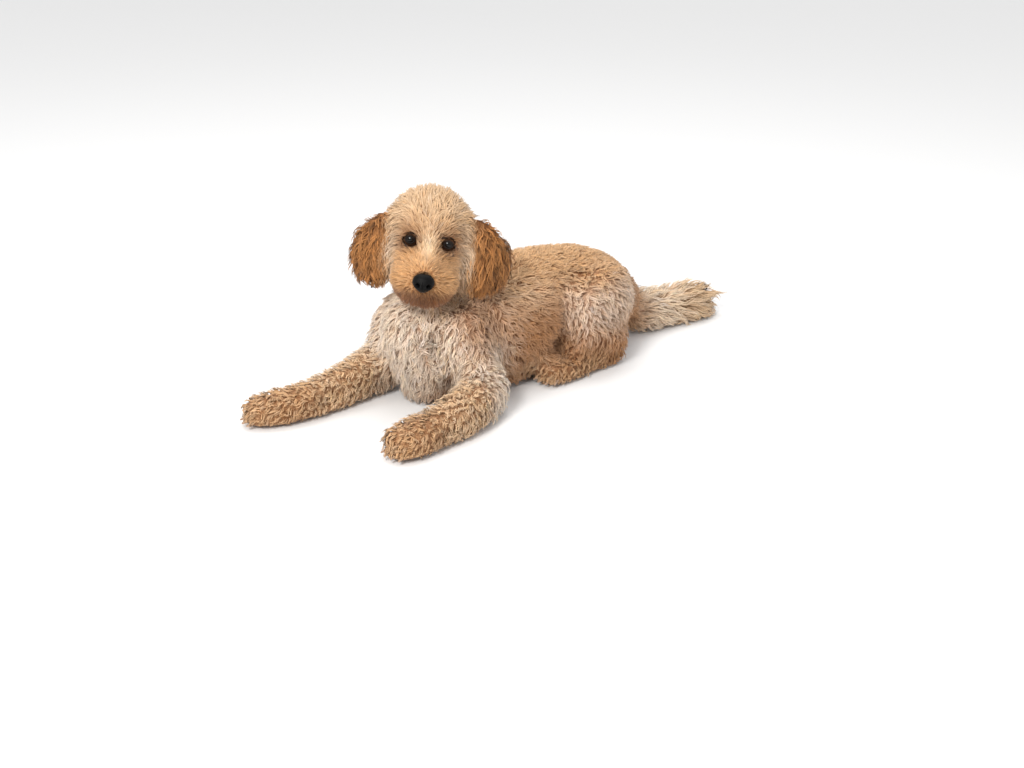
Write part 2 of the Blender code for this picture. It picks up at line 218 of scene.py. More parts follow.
# solid: depth, length, width of a lock, curl radius, turns, lift in degrees, droop, freedom, tones
CHART = {
    "head": (0.0120, 0.0185, 0.0013, 0.0009, 0.5, 66, 0.00, 0.4, CROWN_ROOT, CROWN_TIP),
    "muzzle": (0.0065, 0.0125, 0.0011, 0.0006, 0.5, 40, 0.05, 0.3, MUZZLE_ROOT, MUZZLE_TIP),
    "lower_jaw": (0.0070, 0.0160, 0.0011, 0.0008, 0.6, 40, 0.30, 0.7, JAW_SHADED_ROOT, JAW_SHADED_TIP),
    "neck": (0.0110, 0.0220, 0.0013, 0.0019, 0.8, 50, 0.15, 0.4, CREAM_ROOT, CREAM_TIP),
    "chest": (0.0110, 0.0220, 0.0013, 0.0019, 0.8, 50, 0.15, 0.4, CREAM_ROOT, CREAM_TIP),
    "loin": (0.0085, 0.0150, 0.0014, 0.0018, 0.9, 58, 0.02, 0.3, FLANK_ROOT, FLANK_TIP),
    "rump": (0.0085, 0.0150, 0.0014, 0.0018, 0.9, 58, 0.02, 0.3, BACK_ROOT, BACK_TIP),
    "tail_base": (0.0120, 0.0280, 0.0014, 0.0020, 0.8, 36, 0.05, 0.6, TAIL_ROOT, TAIL_TIP),
    "tail_tip": (0.0150, 0.0380, 0.0014, 0.0022, 0.8, 30, 0.00, 0.7, PLUME_ROOT, PLUME_TIP),
    "ear": (0.0055, 0.0340, 0.0015, 0.0024, 1.0, 30, 0.25, 0.9, EAR_ROOT, EAR_TIP),
    "upper_arm": (0.0100, 0.0180, 0.0014, 0.0020, 0.8, 54, 0.10, 0.3, CREAM_ROOT, CREAM_TIP),
    "forearm": (0.0090, 0.0155, 0.0015, 0.0020, 0.9, 58, 0.05, 0.3, LEG_ROOT, LEG_TIP),
    "forepaw": (0.0075, 0.0135, 0.0014, 0.0018, 0.9, 54, 0.05, 0.3, PAW_ROOT, PAW_TIP),
    "thigh": (0.0095, 0.0160, 0.0014, 0.0020, 0.9, 56, 0.05, 0.3, HIP_ROOT, HIP_TIP),
    "shank": (0.0090, 0.0160, 0.0014, 0.0020, 0.9, 56, 0.05, 0.3, FLANK_ROOT, FLANK_TIP),
    "hind_paw": (0.0080, 0.0145, 0.0014, 0.0019, 0.9, 56, 0.05, 0.3, PAW_ROOT, PAW_TIP),
}
DEPTH, LENGTH, WIDTH, CURL, TURNS, LIFT, DROOP, FREE = range(8)
EAR_FAN = 18.0                          # how far the ear's hair spreads from its middle
EAR_FRINGE, EAR_CROWN = 0.030, 0.020    # stretches over which it shortens, at its end and its top
CHART_FADE, TONE_FADE, LIE_FADE, MELT = 14, 22, 8, 70   # rounds that blend each from solid to solid


def chart_row(node):
    """A solid's line in the chart, which its left and right share."""
    return CHART[node if node in CHART else node.rsplit("_", 1)[0]]


chart = np.array([chart_row(node)[:8] for node in FLESH])[owner]
root_tone = np.array([chart_row(node)[8] for node in FLESH])[owner]
tip_tone = np.array([chart_row(node)[9] for node in FLESH])[owner]

# The lie of the coat: down and back over the trunk, along the limbs, and away from the nose.
lie = np.zeros((hide_count, 3))
lie[:] = (0.0, 0.55, -0.85)
where = belongs("loin", "rump")
lie[where] = (0.0, 1.0, -0.55)
where = belongs("chest")
chest_middle = middle_of("chest")
front = np.clip((chest_middle[1] - 0.01 - outer[:, 1]) / 0.06, 0, 1)[:, None]
lie[where] = (front * (0.0, -0.12, -1.0) + (1 - front) * (0.0, 0.8, -0.7))[where]
where = belongs("neck")
lie[where] = unit(outer - middle_of("neck"))[where] * 0.4 + (0.0, 0.0, -1.0)
where = belongs("tail_base", "tail_tip")
tail_axis = unit(middle_of("tail_tip") - middle_of("tail_base"))
tail_out = outer - middle_of("tail_tip")
tail_out -= np.outer(tail_out @ tail_axis, tail_axis)
lie[where] = (tail_axis + unit(tail_out) * 0.40)[where]
for side in SIDES:
    elbow, wrist = middle_of("upper_arm_" + side), middle_of("forepaw_" + side)
    limb = unit((wrist - elbow) * (1.0, 1.0, 0.0))
    where = belongs("upper_arm_" + side)
    lie[where] = limb * 0.5 + (0.0, 0.0, -0.9)
    where = belongs("forearm_" + side)
    lie[where] = limb + (0.0, 0.0, -0.45)
    where = belongs("forepaw_" + side)
    lie[where] = limb * 1.2 + (0.0, 0.0, -0.35)
    where = belongs("thigh_" + side)
    lie[where] = (0.0, 0.25, -1.0)
    where = belongs("shank_" + side)
    lie[where] = (0.0, -0.2, -0.8)
    where = belongs("hind_paw_" + side)
    lie[where] = (0.0, -1.0, -0.45)
    ear_middle = middle_of("ear_" + side)
    where = belongs("ear_" + side)
    fan = outer - ear_middle
    fan[:, 2] = 0.0
    lie[where] = (np.array((0.0, 0.0, -1.0)) + fan * EAR_FAN)[where]
stop = on_head(0.0, 0.0, -0.004)
where = belongs("head")
beside = np.clip((np.abs((outer - eye_middle) @ head_left) - 0.030) / 0.02, 0, 1)[:, None]
lie[where] = (unit(outer - stop) - head_up * 1.1 * beside)[where]
where = belongs("muzzle", "lower_jaw")
lie[where] = (unit(outer - nose_middle) + (0.0, 0.0, -0.25))[where]

for side in SIDES:
    ear_end, ear_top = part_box("ear_" + side)[0][2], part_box("ear_" + side)[1][2]
    where = belongs("ear_" + side)
    chart[where, LENGTH] *= np.clip((outer[where, 2] - ear_end) / EAR_FRINGE, 0.30, 1.0)
    chart[where, LENGTH] *= np.clip((ear_top - outer[where, 2]) / EAR_CROWN, 0.45, 1.0)
chart = softened(chart, CHART_FADE)
root_tone = softened(root_tone, TONE_FADE)
tip_tone = softened(tip_tone, TONE_FADE)
lie = unit(softened(unit(lie), LIE_FADE))


def near(place, reach, stretch=None):
    """1 at a place on the hide, fading out over a reach; stretch widens it along the head's axes."""
    away = outer - np.asarray(place)
    if stretch is not None:
        axes = np.stack([head_left, head_back, head_up])
        away = (away @ axes.T) / np.asarray(stretch)
    return np.exp(-(away ** 2).sum(1) / (reach * reach))


def mark(share, root, tip):
    """Lays a marking over the coat, as strong as its share at each point."""
    share = np.clip(share, 0, 1)[:, None]
    root_tone[:] = root_tone * (1 - share) + root * share
    tip_tone[:] = tip_tone * (1 - share) + tip * share


# The pale bib faces forward; behind it the lower flank and the back of the upper arms are a darker fawn,
# partly the coat's own colour and partly painted shade on the dog's side, under an apricot saddle.
height = np.clip((outer[:, 2] - 0.105) / 0.05, 0, 1)
trunk = belongs("loin", "chest", "rump", "neck").astype(float)
arms = belongs("upper_arm_left", "upper_arm_right").astype(float)
behind = np.clip((outer[:, 1] + 0.204) / 0.05, 0, 1)
behind = behind * np.clip((outward[:, 1] + 0.80) / 0.50, 0, 1)
mark(softened(trunk * behind * (1 - height), 10), FLANK_ROOT, FLANK_TIP)
mark(softened(trunk * behind * height, 10), BACK_ROOT, BACK_TIP)
upper = np.clip((outer[:, 2] - 0.070) / 0.03, 0, 1)
mark(softened(arms * behind * upper * 0.8, 8), FLANK_ROOT, FLANK_TIP)

# A crease runs down in front of each thigh and opens into a hollow over the hind foot; the hide folds in
# there, and the coat in it is painted dark as shade.
crease = np.zeros(hide_count)
for side, way in (("left", 1.0), ("right", -1.0)):
    edge_of = softened(belongs("thigh_" + side, "shank_" + side).astype(float), 3)
    fore = np.clip((0.055 - outer[:, 1]) / 0.02, 0, 1)
    fore = fore * np.clip((0.135 - outer[:, 2]) / 0.03, 0, 1)
    crease += 4 * edge_of * (1 - edge_of) * fore
    hollow = np.array((middle_of("loin")[0] + way * 0.076, 0.010, 0.052))
    crease += 1.3 * near(hollow, 0.016)
    # The top of each thigh takes the saddle's apricot and its lower part the flank's darker fawn, partly
    # painted shade as on the flank.
    haunch = belongs("thigh_" + side) * np.clip((outer[:, 2] - 0.115) / 0.02, 0, 1)
    mark(softened(haunch.astype(float), 10), BACK_ROOT, BACK_TIP)
    low_thigh = belongs("thigh_" + side) * np.clip((0.085 - outer[:, 2]) / 0.03, 0, 1)
    mark(softened(low_thigh.astype(float), 8) * 0.8, FLANK_ROOT, FLANK_TIP)
# The body's markings melt into one another; the face and the ears keep their edges.
melting = softened(1.0 - belongs("head", "muzzle", "lower_jaw", "ear_left", "ear_right"), 6)[:, None]
root_tone += melting * (softened(root_tone, MELT) - root_tone)
tip_tone += melting * (softened(tip_tone, MELT) - tip_tone)
crease = np.clip(crease, 0, 1.5)
# Painted shade: the coat in the creases and the hollows is darkened to about half the flank's tones.
mark(crease * 0.75, FLANK_ROOT * 0.45, FLANK_TIP * 0.50)

# Marks of the face, each laid over the one before. On each side: a pale cheek, a fawn brow, and
# brown round the eye, darker at its rim. Down the middle: a pale wedge on the bridge and the stop.
# left, back and up from between the eyes, reach, stretch, strength, root, tip
SIDE_MARKS = (
    (0.0420, 0.006, -0.012, 0.0160, (0.80, 1.5, 1.5), 0.80, paint(190, 152, 120), paint(240, 216, 190)),
    (0.0200, 0.000, 0.016, 0.0130, (1.30, 2.0, 0.9), 0.75, paint(148, 102, 62), paint(204, 158, 114)),
    (0.0225, 0.000, 0.001, 0.0150, (1.05, 2.0, 1.0), 1.10, paint(100, 60, 30), paint(156, 102, 56)),
    (0.0190, 0.000, 0.001, 0.0105, (1.15, 2.0, 1.0), 1.00, paint(54, 32, 17), paint(96, 58, 30)),
)
MIDDLE_MARKS = (
    (0.0, -0.018, -0.009, 0.0085, (1.0, 2.8, 2.0), 1.60, paint(212, 168, 126), paint(252, 222, 184)),
    (0.0, 0.000, 0.009, 0.0070, (1.5, 2.4, 0.8), 0.80, paint(206, 166, 130), paint(248, 222, 190)),
)
on_face = softened(belongs("head", "muzzle", "lower_jaw").astype(float), 2)
for way, marks in ((1.0, SIDE_MARKS), (-1.0, SIDE_MARKS), (1.0, MIDDLE_MARKS)):
    for left, back, up, reach, stretch, strength, root, tip in marks:
        mark(on_face * near(on_head(way * left, back, up), reach, stretch) * strength, root, tip)
# Painted shade: a dark brown patch under the nose, where the muzzle shades the chin.
under_muzzle_shade = nose_middle - head_up * 0.016 + head_back * 0.008
mark(on_face * near(under_muzzle_shade, 0.013, (1.5, 1.0, 0.75)) * 0.95, paint(76, 46, 26), paint(132, 86, 52))

# The coat is thin at the rims of the eyes and round the nose, and under the dog's own weight.
RIM_DEPTH, RIM_SLOPE = 0.0018, 0.28
for middle, bare_reach in [(middle_of("eye_" + side), 0.009) for side in SIDES] + [(nose_middle, 0.013)]:
    off = np.linalg.norm(outer - middle, axis=1) - bare_reach
    chart[:, DEPTH] = np.minimum(chart[:, DEPTH], RIM_DEPTH + RIM_SLOPE * np.clip(off, 0, 1))
facing_down = np.clip((-outward[:, 2] - 0.35) / 0.35, 0, 1)
resting = facing_down * np.clip((0.016 - outer[:, 2]) / 0.008, 0, 1)
depth = chart[:, DEPTH] * (1 - resting) + SOLE_DEPTH * resting
chart[:, LENGTH] *= 1 - 0.30 * np.clip(crease, 0, 1)
outer_tree = BVHTree.FromPolygons([Vector(point) for point in outer],
                                  [face.vertices[:] for face in hide_mesh.polygons])
thickness = np.full(hide_count, 1.0)
for number, (point, out) in enumerate(zip(outer, outward)):
    hit = outer_tree.ray_cast(Vector(point - out * 0.0005), Vector(-out), 0.08)
    if hit[3] is not None:
        thickness[number] = hit[3]
inset = softened(np.minimum(depth, THINNEST * thickness), 6)
chart[:, DEPTH] = inset * (1 - 0.3 * np.clip(crease, 0, 1))
hide_points = smoothed(outer - outward * (inset + CREASE_DEPTH * crease)[:, None], 8)
# Behind each ball the hide sinks into a socket, so that no skin lies over the eye.
SOCKET, SOCKET_EDGE, SOCKET_ROOM = 0.0092, 0.0020, 0.0016
for side in SIDES:
    centre, radius = ball_of(side)
    away = hide_points - centre
    ahead = -(away @ head_back)
    aside = np.linalg.norm(away + np.outer(ahead, head_back), axis=1)
    inside = np.clip((SOCKET - aside) / SOCKET_EDGE, 0, 1) * (ahead > -0.004) * (ahead < 0.03)
    bed = np.sqrt(np.maximum(radius ** 2 - aside ** 2, 0)) - SOCKET_ROOM
    hide_points -= np.outer(inside * (bed - ahead), head_back)
hide_mesh.vertices.foreach_set("co", hide_points.astype(np.float32).ravel())
hide_mesh.update()
outward = normals_of(hide_mesh)
lie = unit(lie - outward * (lie * outward).sum(1, keepdims=True))

for name, tone in (("tone_root", root_tone), ("tone_tip", tip_tone)):
    layer = hide_mesh.attributes.new(name, "FLOAT_COLOR", "POINT")
    layer.data.foreach_set("color", np.c_[tone, np.ones(hide_count)].astype(np.float32).ravel())
for face in hide_mesh.polygons:
    face.use_smooth = True
skin = bpy.data.objects.new("skin", hide_mesh)
bpy.context.scene.collection.objects.link(skin)

# The unwrap that the skin and every lock of its coat share.
hide_mesh.uv_layers.new(name="OFBake")
bpy.context.view_layer.objects.active = skin
skin.select_set(True)
bpy.ops.object.mode_set(mode="EDIT")
bpy.ops.mesh.select_all(action="SELECT")
bpy.ops.uv.smart_project(angle_limit=math.radians(66), island_margin=0.002)
bpy.ops.object.mode_set(mode="OBJECT")
hide_mesh = skin.data


def nodes_for(name, roughness, sheen):
    """A material with its shader, ready to be given a colour and a bump."""
    material = bpy.data.materials.new(name)
    material.use_nodes = True
    tree = material.node_tree
    shader = tree.nodes["Principled BSDF"]
    shader.inputs["Roughness"].default_value = roughness
    shader.inputs["Sheen Weight"].default_value = sheen
    shader.inputs["Sheen Roughness"].default_value = 0.45
    shader.inputs["Specular IOR Level"].default_value = 0.25
    return material, tree, shader


def noise(tree, scale, detail=2.0):
    """Uneven cloudiness; the scale is in patches to a metre."""
    clouds = tree.nodes.new("ShaderNodeTexNoise")
    clouds.inputs["Scale"].default_value = scale
    clouds.inputs["Detail"].default_value = detail
    return clouds


def placed(tree, texture):
    """Fixes a texture to the piece's own shape."""
    coords = tree.nodes.new("ShaderNodeTexCoord")
    tree.links.new(coords.outputs["Object"], texture.inputs["Vector"])
    return texture


def two_tone(tree, source, dark, light, dark_at=0.0, light_at=1.0):
    """A blend from one colour to another as the source rises."""
    blend = tree.nodes.new("ShaderNodeValToRGB")
    blend.color_ramp.elements[0].position = dark_at
    blend.color_ramp.elements[0].color = (*dark, 1)
    blend.color_ramp.elements[1].position = light_at
    blend.color_ramp.elements[1].color = (*light, 1)
    tree.links.new(source, blend.inputs["Fac"])
    return blend


def raised(tree, shader, height, distance, strength=1.0):
    """Lifts the surface by up to a distance where the height is greatest."""
    bump = tree.nodes.new("ShaderNodeBump")
    bump.inputs["Distance"].default_value = distance
    bump.inputs["Strength"].default_value = strength
    tree.links.new(height, bump.inputs["Height"])
    tree.links.new(bump.outputs["Normal"], shader.inputs["Normal"])


def carried(tree, name):
    """A value or a colour that the mesh carries at each point."""
    reader = tree.nodes.new("ShaderNodeAttribute")
    reader.attribute_name = name
    return reader


def spread(tree, source, low, high, to_low, to_high):
    """Stretches the source's range between low and high onto another range."""
    scaled = tree.nodes.new("ShaderNodeMapRange")
    scaled.inputs["From Min"].default_value = low
    scaled.inputs["From Max"].default_value = high
    scaled.inputs["To Min"].default_value = to_low
    scaled.inputs["To Max"].default_value = to_high
    tree.links.new(source, scaled.inputs["Value"])
    return scaled


def multiplied(tree, first, second, share=1.0):
    """One colour tinted by another."""
    tinted = tree.nodes.new("ShaderNodeMix")
    tinted.data_type = "RGBA"
    tinted.blend_type = "MULTIPLY"
    tinted.inputs["Factor"].default_value = share
    tree.links.new(first, tinted.inputs["A"])
    tree.links.new(second, tinted.inputs["B"])
    return tinted


def hide_material():
    """Short under-fleece: the markings, broken up by fine noise and darkened in patches as painted shade
    between the hairs, over a soft uneven nap.
    """
    material, tree, shader = nodes_for("hide", 0.85, 0.15)
    nap, clumps = placed(tree, noise(tree, 420.0, 3.0)), placed(tree, noise(tree, 130.0))
    share = spread(tree, clumps.outputs["Fac"], 0.30, 0.75, 0.15, 0.80)
    mix = tree.nodes.new("ShaderNodeMix")
    mix.data_type = "RGBA"
    # Painted shade: the nap's noise darkens the hide's colour to under half in patches, as the hair over
    # it would shade it.
    painted_gap_shade = two_tone(tree, nap.outputs["Fac"], (0.44, 0.37, 0.32), (0.86, 0.80, 0.76), 0.38, 0.62)
    shade = multiplied(tree, mix.outputs["Result"], painted_gap_shade.outputs["Color"])
    link = tree.links.new
    link(share.outputs["Result"], mix.inputs["Factor"])
    link(carried(tree, "tone_root").outputs["Color"], mix.inputs["A"])
    link(carried(tree, "tone_tip").outputs["Color"], mix.inputs["B"])
    link(shade.outputs["Result"], shader.inputs["Base Color"])
    raised(tree, shader, nap.outputs["Fac"], 0.0015, 0.7)
    return material


hide_mesh.materials.clear()
hide_mesh.materials.append(hide_material())
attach(skin, "root")
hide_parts(*FLESH)


# ---------------------------------------------------------------- the eyes
# Two dark brown eyes, wet and bulging a little at the cornea. Lids of thin skin lie over each
# ball, dark and bare along the edge and brown with short hair farther out.
OPENING_ACROSS, OPENING_TALL = 0.0043, 0.0031   # half the width and height of the lids' opening
CORNEA_RISE, CORNEA_WIDTH = 0.04, 0.5       # share of the radius, and radians from the gaze
lid_tone, lid_hair_tone, iris_tone = paint(26, 18, 14), paint(84, 54, 33), paint(34, 20, 13)
pupil_tone, white_tone = (0.0015, 0.0012, 0.001), (0.02, 0.012, 0.009)


def eye_material():
    """A black pupil in a dark brown iris under a wet surface."""
    material, tree, shader = nodes_for("wet_eye", 0.05, 0.0)
    shader.inputs["Specular IOR Level"].default_value = 0.26
    grain = noise(tree, 900.0)
    rings = two_tone(tree, carried(tree, "gaze").outputs["Fac"], pupil_tone, iris_tone, 0.30, 0.42)
    rings.color_ramp.elements.new(0.82).color = (*white_tone, 1)
    mix = multiplied(tree, rings.outputs["Color"], grain.outputs["Fac"], 0.5)
    tree.links.new(mix.outputs["Result"], shader.inputs["Base Color"])
    return material


def lid_material():
    """Bare dark skin at the lids' edge, finely creased, turning brown with hair farther out."""
    material, tree, shader = nodes_for("eye_lid", 0.5, 0.0)
    creases = noise(tree, 700.0)
    uneven = tree.nodes.new("ShaderNodeMath")
    uneven.operation = "MULTIPLY_ADD"
    uneven.inputs[1].default_value = 0.25
    tree.links.new(creases.outputs["Fac"], uneven.inputs[0])
    tree.links.new(carried(tree, "outwards").outputs["Fac"], uneven.inputs[2])
    tones = two_tone(tree, uneven.outputs["Value"], lid_tone, lid_hair_tone, 0.30, 0.62)
    tree.links.new(tones.outputs["Color"], shader.inputs["Base Color"])
    raised(tree, shader, creases.outputs["Fac"], 0.0004)
    return material


def piece(name, mesh, material):
    """A finished piece on the dog's one body."""
    made = bpy.data.objects.new(name, mesh)
    bpy.context.scene.collection.objects.link(made)
    mesh.materials.append(material)
    for face in mesh.polygons:
        face.use_smooth = True
    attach(made, "root")
    return made


wet_eye, eye_lid = eye_material(), lid_material()
# Across a lid, from its edge outward and back under: share of the way out, height over the ball.
LID_PROFILE = ((0.00, -0.0006), (0.01, 0.0004), (0.05, 0.0011), (0.12, 0.0012), (0.22, 0.0008),
               (0.40, 0.0007), (0.65, 0.0006), (1.00, 0.0000), (0.95, -0.0022), (0.20, -0.0022))
LID_REACH = math.radians(76)
AROUND = 56
gazes = {}
for side, way in (("left", 1.0), ("right", -1.0)):
    centre, radius = ball_of(side)
    gaze = unit(-head_back + head_left * way * 0.10 + head_up * 0.14)
    gazes[side] = gaze
    across = unit(head_left - gaze * (head_left @ gaze))
    upward = np.cross(across, gaze)
    axes = Matrix((across, upward, gaze)).transposed().to_4x4()
    work = bmesh.new()
    bmesh.ops.create_uvsphere(work, u_segments=40, v_segments=28, radius=radius)
    facing = work.verts.layers.float.new("gaze")
    for point in work.verts:
        off_axis = math.acos(max(-1.0, min(1.0, point.co.z / radius)))
        point[facing] = off_axis
        point.co *= 1 + CORNEA_RISE * math.exp(-(off_axis / CORNEA_WIDTH) ** 2)
    bmesh.ops.transform(work, matrix=Matrix.Translation(centre) @ axes, verts=work.verts)
    mesh = bpy.data.meshes.new("eyeball_" + side)
    work.to_mesh(mesh)
    work.free()
    eye = piece("eyeball_" + side, mesh, wet_eye)
    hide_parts("eye_" + side)
    points, outwards, faces = [], [], []
    for step in range(AROUND):
        turn_at = 2 * math.pi * step / AROUND
        side_on, upright = math.cos(turn_at), math.sin(turn_at)
        edge = OPENING_ACROSS * OPENING_TALL / math.hypot(OPENING_TALL * side_on, OPENING_ACROSS * upright)
        edge *= 1 + 0.06 * side_on ** 4
        edge_angle = math.asin(edge / radius)
        for share, rise in LID_PROFILE:
            angle = edge_angle + (LID_REACH - edge_angle) * share
            way_out = np.array((side_on * math.sin(angle), upright * math.sin(angle), math.cos(angle)))
            points.append(Vector(way_out * (radius + rise)))
            outwards.append(share)
    rings = len(LID_PROFILE)
    for step in range(AROUND):
        for ring in range(rings):
            here, there, up = step * rings, (step + 1) % AROUND * rings, (ring + 1) % rings
            faces.append((here + ring, here + up, there + up, there + ring))
    mesh = bpy.data.meshes.new("eye_lids_" + side)
    mesh.from_pydata(points, [], faces)
    mesh.attributes.new("outwards", "FLOAT", "POINT").data.foreach_set("value", outwards)
    mesh.transform(Matrix.Translation(centre) @ axes)
    mesh.update()
    piece("eye_lids_" + side, mesh, eye_lid)


# ---------------------------------------------------------------- the nose
# A bare black nose of pebbled leather: a flat top, a furrow down the front, and a
# comma-shaped nostril on each side that opens outward.
nose_size = np.array((0.0135, 0.0110, 0.0118))      # half its width, depth and height
NOSTRIL_DEPTH, SLIT_DEPTH, FURROW_DEPTH = 0.589, 0.285, 0.16    # shares of half the nose's depth


def nose_material():
    """Black leather with a fine pebble grain and a faint uneven tint."""
    material, tree, shader = nodes_for("nose_leather", 0.34, 0.0)
    shader.inputs["Specular IOR Level"].default_value = 0.09
    pebbles = placed(tree, tree.nodes.new("ShaderNodeTexVoronoi"))
    pebbles.inputs["Scale"].default_value = 1100.0
    tint = placed(tree, noise(tree, 260.0))
    blacks = two_tone(tree, tint.outputs["Fac"], (0.0012, 0.0011, 0.0011), (0.0050, 0.0045, 0.0045))
    tree.links.new(blacks.outputs["Color"], shader.inputs["Base Color"])
    raised(tree, shader, pebbles.outputs["Distance"], 0.0003, 0.8)
    return material


work = bmesh.new()
bmesh.ops.create_icosphere(work, subdivisions=6, radius=1.0)
head_axes = np.stack([head_left, head_back, head_up], 1)
for point in work.verts:
    x, y, z = point.co
    x *= 1.0 + 0.10 * z
    z = min(z, 0.74 + 0.22 * z)
    y = y * (1.0 - 0.12 * max(z, 0.0))
    x *= 1.0 - 0.22 * max(-z, 0.0) ** 1.5
    furrow = math.exp(-(x / 0.07) ** 2) * max(0.0, -y) * max(0.0, min(1.0, 0.45 - z))
    y += FURROW_DEPTH * furrow
    for way in (1.0, -1.0):
        hole = ((x * way - 0.50) / 0.20) ** 2 + ((z + 0.12) / 0.24) ** 2
        slit = ((x * way - 0.80) / 0.24) ** 2 + ((z + 0.30) / 0.09) ** 2
        if y < 0.35:
            y += NOSTRIL_DEPTH * math.exp(-hole * 1.4) + SLIT_DEPTH * math.exp(-slit * 1.6)
            x -= way * 0.10 * math.exp(-hole) - way * 0.05 * math.exp(-slit)
    point.co = Vector(nose_middle + head_axes @ (np.array((x, y, z)) * nose_size * 0.97))
mesh = bpy.data.meshes.new("nose_pad")
work.to_mesh(mesh)
work.free()
nose_pad = piece("nose_pad", mesh, nose_material())
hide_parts("nose")


# ---------------------------------------------------------------- the claws
# Four short claws of pale horn on each paw. Each is rooted in the end of its toe and curves down
# to the floor, nearly hidden in the coat.
def horn_material():
    """Pale horn, finely mottled with darker streaks."""
    material, tree, shader = nodes_for("claw_horn", 0.42, 0.0)
    streaks = placed(tree, noise(tree, 500.0))
    tones = two_tone(tree, streaks.outputs["Fac"], paint(120, 92, 74), paint(206, 176, 150))
    tree.links.new(tones.outputs["Color"], shader.inputs["Base Color"])
    raised(tree, shader, streaks.outputs["Fac"], 0.0003)
    return material


claw_horn = horn_material()
for name, node in sorted(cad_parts.items()):
    if name.startswith("claw_"):
        node.data.materials.clear()
        node.data.materials.append(claw_horn)


# ---------------------------------------------------------------- growing the coat
# Locks grow from the hide in small tufts. The locks of a tuft share one path, which rises from
# the root, lies over along the coat and curls; each is a closed, tapered strand.
PATCH = 0.003               # a lock's own patch on the unwrap
ROOT_SINK = 0.0008          # how far a lock starts beneath the hide
FLOOR_GAP = 0.0012          # no lock's path comes nearer to the floor
ROOM_SHARE = 0.72           # share of an even spacing that each tuft keeps to itself
LEAST_STAND, MOST_STAND = 0.95, 1.05    # shares of the coat's depth between which a lock's tip stands
STAGGER = 0.45              # the shortest lock of a tuft is this share shorter than the longest
BLUNT = 2.2                 # higher numbers keep a lock wide nearer to its tip
HIDDEN_WITHIN, HIDDEN_SHARE = 0.022, 0.35   # hide this near to more hide carries this share of locks

hide_points = corners_of(hide_mesh)
outward = normals_of(hide_mesh)
hide_mesh.calc_loop_triangles()
hide_triangles = rows(hide_mesh.loop_triangles, "vertices", 3, np.int32)
hide_loops = rows(hide_mesh.loop_triangles, "loops", 3, np.int32)
hide_uv = rows(hide_mesh.uv_layers["OFBake"].data, "uv", 2)
hide_tree = BVHTree.FromPolygons([Vector(point) for point in hide_points], hide_triangles.tolist())
corner_a, corner_b, corner_c = (hide_points[hide_triangles[:, k]] for k in range(3))
triangle_area = np.linalg.norm(np.cross(corner_b - corner_a, corner_c - corner_a), axis=1) / 2
triangle_owner = owner[hide_triangles[:, 0]]
triangle_lie = unit(lie[hide_triangles].sum(1))
triangle_out = unit(outward[hide_triangles].sum(1))

# Locks stand closest where the coat shows; beneath the dog and in its folds they thin out.
shelter = np.ones(hide_count)
for number, (point, out) in enumerate(zip(hide_points, outward)):
    if hide_tree.ray_cast(Vector(point + out * 0.001), Vector(out), HIDDEN_WITHIN)[3] is not None:
        shelter[number] = HIDDEN_SHARE
shelter = softened(shelter * (1 - 0.55 * np.clip(-outward[:, 2] - 0.2, 0, 0.8) / 0.8), 3)


def on_hide(points):
    """The hide's nearest point to each of these, its outward direction, and its triangle."""
    spots, outs, faces = [], [], []
    for point in points:
        spot, _, face, _ = hide_tree.find_nearest(Vector(point))
        spots.append(spot)
        faces.append(face)
    faces = np.array(faces)
    return np.array(spots), triangle_out[faces], faces


def scatter(nodes, count, rng, crowd):
    """Root triangles and weights for about so many tufts, spread evenly over these solids."""
    mine = np.isin(triangle_owner, [FLESH.index(node) for node in nodes])
    low_side = (triangle_out[:, 2] < -0.75) & (hide_points[hide_triangles[:, 0], 2] < 0.02)
    growing = triangle_area * mine * ~low_side
    chance = growing * crowd[hide_triangles].mean(1)
    chance /= chance.sum()
    tries = rng.choice(len(chance), count * 5, p=chance)
    u, v = rng.random(count * 5), rng.random(count * 5)
    flip = u + v > 1
    u[flip], v[flip] = 1 - u[flip], 1 - v[flip]
    weights = np.stack([1 - u - v, u, v], 1)
    spots = (hide_points[hide_triangles[tries]] * weights[..., None]).sum(1)
    # Tries are taken in turn and dropped where one already stands too close.
    local = (crowd[hide_triangles[tries]] * weights).sum(1)
    crowding = np.maximum(local / crowd[belongs(*nodes)].mean(), 0.05)
    room = ROOM_SHARE * math.sqrt(growing.sum() / count) / np.sqrt(crowding)
    cell = room.max()
    grid, kept = {}, []
    for number, spot in enumerate(spots):
        key = tuple((spot // cell).astype(int))
        close = False
        for i, j, k in itertools.product((-1, 0, 1), repeat=3):
            for other in grid.get((key[0] + i, key[1] + j, key[2] + k), ()):
                gap = spots[other] - spot
                if gap @ gap < room[number] ** 2:
                    close = True
        if not close:
            grid.setdefault(key, []).append(number)
            kept.append(number)
            if len(kept) == count:
                break
    return tries[kept], weights[kept]


def coat_material():
    """Fine hair: root to tip colour, darker at the root partly as painted shade, thin strands that run
    along each lock, and a soft sheen.
    """
    material, tree, shader = nodes_for("curly_coat", 0.66, 0.10)
    hairs = noise(tree, 5.0)
    tree.links.new(carried(tree, "strand").outputs["Vector"], hairs.inputs["Vector"])
    strength = spread(tree, hairs.outputs["Fac"], 0.3, 0.7, 0.72, 1.16)
    tinted = multiplied(tree, carried(tree, "tone").outputs["Color"], strength.outputs["Result"])
    tree.links.new(tinted.outputs["Result"], shader.inputs["Base Color"])
    raised(tree, shader, hairs.outputs["Fac"], 0.0005, 0.6)
    return material


curly_coat = coat_material()


